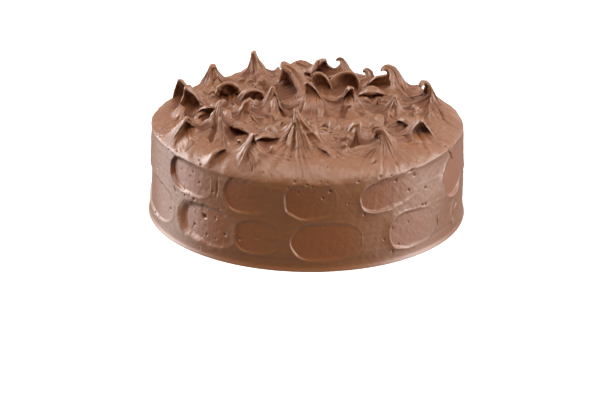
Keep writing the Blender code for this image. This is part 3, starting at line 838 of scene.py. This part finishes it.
def outward_normals(points, quads):
    """Unit normals of the points: each face's crossed diagonals, summed at its corners."""
    a, b, c, d = (points[quads[:, corner]] for corner in range(4))
    faces = np.cross(c - a, d - b)
    total = np.zeros_like(points)
    for corner in range(4):
        for axis in range(3):
            total[:, axis] += np.bincount(quads[:, corner], faces[:, axis], len(points))
    return total / np.maximum(np.linalg.norm(total, axis=1, keepdims=True), 1e-9)


def spread_out(values, quads, rounds):
    """Values smoothed over the surface: each round takes the mean of a point's faces' means."""
    shares = np.maximum(np.bincount(quads.ravel(), minlength=len(values)), 1)
    for _ in range(rounds):
        means = values[quads].mean(axis=1)
        values = np.bincount(quads.ravel(), np.repeat(means, 4), len(values)) / shares
    return values


def smoothed_points(points, quads, rounds):
    """The points with each coordinate smoothed over the surface."""
    return np.column_stack([spread_out(points[:, axis], quads, rounds) for axis in range(3)])


def skin_grid():
    """Unrolled places of the skin's points, the faces of the top and the wall, and the rings.

    The top's points are the sheet's grid. The wall's are rings down to the foot, and
    the first ring is the sheet's edge.
    """
    sheet_way = CROWN_RADIUS + SHOULDER_WAY + SHEET_OVERHANG
    foot_way = CROWN_RADIUS + SHOULDER_WAY + WALL_TOP_HEIGHT
    sheet = settle_on_peaks(disc_sheet(TOP_CELLS) * sheet_way, 2 * sheet_way / TOP_CELLS)
    rim = np.roll(disc_edge(TOP_CELLS), TOP_CELLS // 2)
    sheet[rim] *= sheet_way / np.hypot(*sheet[rim].T)[:, None]
    outward = sheet[rim] / sheet_way
    around = len(rim)
    ways = np.linspace(sheet_way, foot_way, WALL_ROWS + 1)[1:]
    flat = np.concatenate([sheet] + [outward * way for way in ways])

    row = TOP_CELLS + 1
    corner = (np.arange(TOP_CELLS)[:, None] * row + np.arange(TOP_CELLS)).ravel()
    top_quads = np.column_stack((corner, corner + 1, corner + row + 1, corner + row))
    rings = len(sheet) + np.arange(WALL_ROWS * around).reshape(WALL_ROWS, around)
    rings = np.concatenate((rim[None], rings))
    after = np.roll(rings, -1, axis=1)
    wall_quads = np.stack((rings[:-1], rings[1:], after[1:], after[:-1]), axis=-1).reshape(-1, 4)
    return flat, top_quads, wall_quads, rings


def fine_relief(flat, points, pressed):
    """How far the fine relief raises each point, and the depth of the torn spots alone."""
    way = np.hypot(*flat.T)
    bearing = np.arctan2(flat[:, 0], -flat[:, 1])
    height = points[:, 2]
    on_wall = ease(CROWN_RADIUS, CROWN_RADIUS + SHOULDER_WAY, way)
    on_top = 1 - on_wall
    in_press = ease(*IN_PRESS, pressed)
    relief = on_top * (STREAK_DEPTH * drawn_streaks(flat) + creases(flat))
    lumps = LUMP_DEPTH * grain(points, LUMP_LENGTH, SEEDS["lumps"])
    crumbs = CRUMB_DEPTH * grain(points, CRUMB_LENGTH, SEEDS["crumbs"])
    relief += (1 - (1 - WALL_GRAIN_SHARE) * on_wall) * (lumps + crumbs)
    drag = lines_round(bearing, *DRAG_COUNTS, SEEDS["drag"])
    relief += on_wall * in_press * DRAG_DEPTH * drag
    squeezed = np.degrees(bearing) * STROKE_SQUEEZE
    strokes = ripples(squeezed, height, STROKE_LENGTH, SEEDS["strokes"])
    relief += on_wall * (1 - in_press) * STROKE_DEPTH * strokes
    from_lumps = (way - CROWN_RADIUS) / SHOULDER_WAY - SHOULDER_LUMP_PLACE
    on_shoulder = np.exp(-(from_lumps**2) / SHOULDER_LUMP_SPREAD)
    shoulder_lumps = grain(points, SHOULDER_LUMP_LENGTH, SEEDS["shoulder lumps"])
    relief += on_shoulder * SHOULDER_LUMP * shoulder_lumps
    torn = on_wall * wall_tears(bearing, height)
    relief -= air_holes(flat) + torn
    return relief * ease(*ABOVE_FOOT, height), torn


def frosting_surface():
    """The whole skin: its points, its masks, its normals, its faces and its rings."""
    flat, top_quads, wall_quads, rings = skin_grid()
    quads = np.concatenate((top_quads, wall_quads))
    points, pressed = skin(flat)
    settled = smoothed_points(points, quads, SETTLE_ROUNDS)
    still = ease(CROWN_RADIUS, CROWN_RADIUS + SHOULDER_WAY, np.hypot(*flat.T))
    points = settled + still[:, None] * (points - settled)
    relief, torn = fine_relief(flat, points, pressed)
    points = points + outward_normals(points, quads) * relief[:, None]
    points[rings[-1], 2] = 0.0
    masks, normals = surface_masks(points, pressed, torn, quads)
    return points, masks, normals, top_quads, wall_quads, rings


def surface_masks(points, pressed, torn, quads):
    """Shares from 0 to 1 of painted shade in deep places, of painted highlight on crests and of
    knife presses, and the points' normals.
    """
    height = points[:, 2]
    normals = outward_normals(points, quads)
    lowered = spread_out(height, quads, SHADE_SMOOTHING_ROUNDS) - height
    around = smoothed_points(points, quads, CREST_ROUNDS)
    bulge = np.sum((points - around) * normals, axis=1)
    # Painted shade: darker where the skin lies below its surroundings, in creases and where it
    # turns from facing up to facing down, kept to the upper part, and added in torn spots.
    shade_signs = (
        ease(*SHADE_LOWERED, lowered),
        ease(*SHADE_CREASED, -bulge),
        ease(*SHADE_SLANT, normals[:, 2]),
    )
    deep = np.clip(sum(share * sign for share, sign in zip(SHADE_SIGN_SHARES, shade_signs)), 0, 1)
    deep = deep * ease(*SHADE_HEIGHT, height) + ease(*SHADE_TORN, torn)
    return {
        "deep": np.clip(deep, 0, 1),
        "crest": ease(*HIGHLIGHT_BULGE, bulge),
        "pressed": ease(*PRESSED_DEPTH, pressed),
    }, normals


def skin_piece(name, surface, quads, triangles, material):
    """A mesh object from the faces given, with only the points, normals and masks they use."""
    points, normals, masks = surface
    numbers = np.concatenate((quads.ravel(), triangles.ravel()))
    used, corners = np.unique(numbers, return_inverse=True)
    mesh = bpy.data.meshes.new(name)
    mesh.vertices.add(len(used))
    mesh.vertices.foreach_set("co", (points[used] * MM).ravel())
    mesh.loops.add(len(corners))
    mesh.loops.foreach_set("vertex_index", corners)
    triangle_starts = 4 * len(quads) + 3 * np.arange(len(triangles))
    starts = np.concatenate((4 * np.arange(len(quads)), triangle_starts))
    mesh.polygons.add(len(starts))
    mesh.polygons.foreach_set("loop_start", starts)
    mesh.update(calc_edges=True)
    mesh.shade_smooth()
    mesh.normals_split_custom_set_from_vertices(normals[used])
    for mask, values in masks.items():
        mesh.attributes.new(mask, "FLOAT", "POINT").data.foreach_set("value", values[used])
    mesh.materials.append(material)
    piece = bpy.data.objects.new(name, mesh)
    bpy.context.scene.collection.objects.link(piece)
    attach(piece, "root")
    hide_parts(CAKE)


def make_frosting():
    """The top with its shoulder, and the wall with the flat underside, each in two halves."""
    points, masks, normals, top_quads, wall_quads, rings = frosting_surface()
    points = np.concatenate((points, [(0.0, 0.0, 0.0)]))
    normals = np.concatenate((normals, [(0.0, 0.0, -1.0)]))
    masks = {name: np.append(values, 0.0) for name, values in masks.items()}
    surface = (points, normals, masks)
    foot = rings[-1]
    centre = np.full(len(foot), len(points) - 1)
    underside = np.column_stack((foot, centre, np.roll(foot, -1)))
    none = np.empty((0, 3), int)
    half_top, half_round = len(top_quads) // 2, len(foot) // 2
    front = np.tile(np.arange(len(foot)) < half_round, WALL_ROWS)
    groups = {"tones": butter_tones(), "holes": tiny_holes()}
    pulled = buttercream("pulled_buttercream", groups, *PULLED_LOOK)
    smoothed = buttercream("smoothed_buttercream", groups, *SMOOTHED_LOOK)
    for name, quads, triangles, material in (
        ("frosting_top_front", top_quads[:half_top], none, pulled),
        ("frosting_top_back", top_quads[half_top:], none, pulled),
        ("frosting_wall_front", wall_quads[front], underside[:half_round], smoothed),
        ("frosting_wall_back", wall_quads[~front], underside[half_round:], smoothed),
    ):
        skin_piece(name, surface, quads, triangles, material)


def add_node(tree, kind, values=None, **settings):
    """A node of the kind, with its settings and the values of its unlinked inputs."""
    node = tree.nodes.new(kind)
    for name, value in settings.items():
        setattr(node, name, value)
    for name, value in (values or {}).items():
        node.inputs[name].default_value = value
    return node


def set_or_link(tree, socket, value):
    """Links the socket to another one, or gives it a plain value."""
    if isinstance(value, bpy.types.NodeSocket):
        tree.links.new(value, socket)
    else:
        socket.default_value = value


def mixed(tree, share, low, high):
    """The colour between two colours or sockets at a share."""
    node = add_node(tree, "ShaderNodeMix", data_type="RGBA", blend_type="MIX")
    for socket, value in zip(MIX_INPUTS, (share, low, high)):
        set_or_link(tree, node.inputs[socket], value)
    return node.outputs[MIX_RESULT]


def number(tree, operation, first, second=0.0, clamp=False):
    """The result of a Math node on two numbers or sockets."""
    node = add_node(tree, "ShaderNodeMath", operation=operation, use_clamp=clamp)
    for socket, value in zip(node.inputs, (first, second)):
        set_or_link(tree, socket, value)
    return node.outputs[0]


def mask(tree, name):
    """A mask that the mesh carries."""
    node = add_node(tree, "ShaderNodeAttribute", attribute_name=name, attribute_type="GEOMETRY")
    return node.outputs["Fac"]


def new_group(name, inputs, outputs):
    """An empty node group with the sockets named, and its input and output nodes."""
    tree = bpy.data.node_groups.new(name, "ShaderNodeTree")
    for socket, kind in inputs.items():
        tree.interface.new_socket(socket, in_out="INPUT", socket_type=kind)
    for socket, kind in outputs.items():
        tree.interface.new_socket(socket, in_out="OUTPUT", socket_type=kind)
    return tree, tree.nodes.new("NodeGroupInput"), tree.nodes.new("NodeGroupOutput")


def butter_tones():
    """Group: the frosting's colour from its masks, mottled by slow and fine noise, with painted
    shade in deep places and a painted highlight on crests.
    """
    tree, given, result = new_group(
        "butter tones",
        {"Deep": "NodeSocketFloat", "Crest": "NodeSocketFloat", "Pressed": "NodeSocketFloat"},
        {"Colour": "NodeSocketColor"},
    )
    place = add_node(tree, "ShaderNodeTexCoord").outputs["Object"]
    slow = add_node(tree, "ShaderNodeTexNoise", MOTTLE_NOISE)
    fine = add_node(tree, "ShaderNodeTexNoise", SPECKLE_NOISE)
    for noise in (slow, fine):
        tree.links.new(place, noise.inputs["Vector"])
    colour = mixed(tree, slow.outputs["Fac"], MILK_BROWN, WARM_BROWN)
    speckle = number(tree, "MULTIPLY", fine.outputs["Fac"], SPECKLE)
    colour = mixed(tree, speckle, colour, PALE_SPECKLE_AND_HIGHLIGHT)
    for mask_name, most, brown in (
        ("Pressed", PRESS_SHARE, PRESS_BROWN),
        # Crests get the pale brown as a painted highlight.
        ("Crest", PAINTED_HIGHLIGHT_SHARE, PALE_SPECKLE_AND_HIGHLIGHT),
        # Deep places get the darkest brown as painted shade.
        ("Deep", PAINTED_SHADE_SHARE, PAINTED_SHADE_BROWN),
    ):
        share = number(tree, "MULTIPLY", given.outputs[mask_name], most)
        colour = mixed(tree, share, colour, brown)
    tree.links.new(colour, result.inputs["Colour"])
    return tree


def tiny_holes():
    """Group: a surface's height with pinholes in it, one in each cell of a Voronoi pattern."""
    tree, given, result = new_group(
        "tiny holes",
        {"Scale": "NodeSocketFloat", "Radius": "NodeSocketFloat"},
        {"Height": "NodeSocketFloat", "Hole": "NodeSocketFloat"},
    )
    place = add_node(tree, "ShaderNodeTexCoord").outputs["Object"]
    cells = add_node(tree, "ShaderNodeTexVoronoi", {"Randomness": 1.0})
    patches = add_node(tree, "ShaderNodeTexNoise", HOLE_PATCH_NOISE)
    tree.links.new(place, cells.inputs["Vector"])
    tree.links.new(place, patches.inputs["Vector"])
    tree.links.new(given.outputs["Scale"], cells.inputs["Scale"])
    reach = number(tree, "MULTIPLY", given.outputs["Radius"], patches.outputs["Fac"])
    outward = number(tree, "DIVIDE", cells.outputs["Distance"], reach)
    inside = number(tree, "SUBTRACT", 1.0, outward, clamp=True)
    hole = number(tree, "POWER", inside, PINHOLE_ROUNDNESS)
    tree.links.new(hole, result.inputs["Hole"])
    tree.links.new(number(tree, "SUBTRACT", 1.0, hole), result.inputs["Height"])
    return tree


def buttercream(name, groups, hole_scale, hole_radius, roughness):
    """Satin chocolate buttercream: masked tones with painted shade and highlights, pinholes
    darkened with painted shade, fine tooth and light under the skin.
    """
    material = bpy.data.materials.new(name)
    material.use_nodes = True
    tree = material.node_tree
    shader = tree.nodes["Principled BSDF"]
    shader.inputs["Specular IOR Level"].default_value = SHEEN
    shader.inputs["Subsurface Weight"].default_value = UNDER_SKIN_SHARE
    shader.inputs["Subsurface Radius"].default_value = UNDER_SKIN_REACH
    shader.inputs["Subsurface Scale"].default_value = UNDER_SKIN_SCALE

    tones = add_node(tree, "ShaderNodeGroup", node_tree=groups["tones"])
    for mask_name in ("deep", "crest", "pressed"):
        tree.links.new(mask(tree, mask_name), tones.inputs[mask_name.capitalize()])
    hole_values = {"Scale": hole_scale, "Radius": hole_radius}
    holes = add_node(tree, "ShaderNodeGroup", hole_values, node_tree=groups["holes"])
    # Painted shade: the pinholes are darkened towards the darkest brown.
    hole_shade_share = number(tree, "MULTIPLY", holes.outputs["Hole"], HOLE_SHADE_SHARE)
    shaded = mixed(tree, hole_shade_share, tones.outputs["Colour"], PAINTED_SHADE_BROWN)
    tree.links.new(shaded, shader.inputs["Base Color"])

    place = add_node(tree, "ShaderNodeTexCoord").outputs["Object"]
    tooth = add_node(tree, "ShaderNodeTexNoise", TOOTH_NOISE)
    tree.links.new(place, tooth.inputs["Vector"])
    tooth_dullness = number(tree, "MULTIPLY", tooth.outputs["Fac"], TOOTH_DULLNESS)
    uneven = number(tree, "ADD", tooth_dullness, roughness - TOOTH_DULLNESS / 2)
    dull = number(tree, "MULTIPLY", mask(tree, "deep"), SHADE_MASK_DULLNESS)
    tree.links.new(number(tree, "ADD", uneven, dull, clamp=True), shader.inputs["Roughness"])
    tooth_height = number(tree, "MULTIPLY", tooth.outputs["Fac"], TOOTH_HEIGHT)
    height = number(tree, "ADD", tooth_height, holes.outputs["Height"])
    bump = add_node(tree, "ShaderNodeBump", BUMP)
    tree.links.new(height, bump.inputs["Height"])
    tree.links.new(bump.outputs["Normal"], shader.inputs["Normal"])
    return material


def make_floor():
    """A plain pale floor. What it throws back onto the cake is dimmer than what is seen of it."""
    reach = FLOOR_REACH
    mesh = bpy.data.meshes.new("floor")
    corners = [(-reach, -reach, 0), (reach, -reach, 0), (reach, reach, 0), (-reach, reach, 0)]
    mesh.from_pydata(corners, [], [(0, 1, 2, 3)])
    material = bpy.data.materials.new("white_floor")
    material.use_nodes = True
    tree = material.node_tree
    shader = tree.nodes["Principled BSDF"]
    shader.inputs["Base Color"].default_value = FLOOR_WHITE
    shader.inputs["Roughness"].default_value = FLOOR_ROUGHNESS
    bounce_values = {"Color": FLOOR_BOUNCE, "Roughness": FLOOR_SHINE}
    bounce = add_node(tree, "ShaderNodeBsdfGlossy", bounce_values)
    seen = add_node(tree, "ShaderNodeLightPath").outputs["Is Camera Ray"]
    blend = add_node(tree, "ShaderNodeMixShader")
    tree.links.new(seen, blend.inputs[0])
    tree.links.new(bounce.outputs[0], blend.inputs[1])
    tree.links.new(shader.outputs[0], blend.inputs[2])
    tree.links.new(blend.outputs[0], tree.nodes["Material Output"].inputs["Surface"])
    mesh.materials.append(material)
    floor = bpy.data.objects.new("floor", mesh)
    bpy.context.scene.collection.objects.link(floor)


def soft_light(name, place, size, power, glossy):
    """A square soft light that faces the cake."""
    lamp = bpy.data.lights.new(name, "AREA")
    lamp.size = size
    lamp.energy = power
    light = bpy.data.objects.new(name, lamp)
    bpy.context.scene.collection.objects.link(light)
    light.location = place
    light.visible_glossy = glossy
    aim = Vector(LIGHT_AIM) - Vector(place)
    light.rotation_euler = aim.to_track_quat("-Z", "Y").to_euler()


def make_light():
    """Soft lights on every side. The room is seen white, but lights the cake only dimly."""
    world = bpy.data.worlds.new("white_room")
    bpy.context.scene.world = world
    world.use_nodes = True
    tree = world.node_tree
    seen = add_node(tree, "ShaderNodeLightPath").outputs["Is Camera Ray"]
    strength = number(tree, "MAXIMUM", seen, ROOM_STRENGTH)
    tree.links.new(strength, tree.nodes["Background"].inputs["Strength"])
    tree.nodes["Background"].inputs["Color"].default_value = ROOM_COLOUR
    for light in SOFT_LIGHTS:
        soft_light(*light)


def make_camera():
    """The photo's viewpoint: it looks along +Y and down on the middle of the cake's underside."""
    lens = bpy.data.cameras.new("viewpoint")
    lens.sensor_width = SENSOR_WIDTH
    lens.lens = FOCAL_PIXELS / PHOTO_WIDTH * SENSOR_WIDTH
    lens.shift_x = -CENTRE_RIGHT / PHOTO_WIDTH
    lens.shift_y = CENTRE_DOWN / PHOTO_WIDTH
    lens.clip_start = NEAREST
    camera = bpy.data.objects.new("viewpoint", lens)
    bpy.context.scene.collection.objects.link(camera)
    drop = np.radians(CAMERA_ELEVATION)
    forward = Vector((0.0, np.cos(drop), -np.sin(drop)))
    camera.location = -forward * CAMERA_DISTANCE
    level = forward.to_track_quat("-Z", "Y").to_matrix()
    camera.rotation_euler = (level @ Matrix.Rotation(np.radians(CAMERA_ROLL), 3, "Z")).to_euler()
    bpy.context.scene.camera = camera


def main():
    make_camera()
    make_frosting()
    make_floor()
    make_light()
    bpy.context.scene.view_settings.view_transform = "Standard"


main()
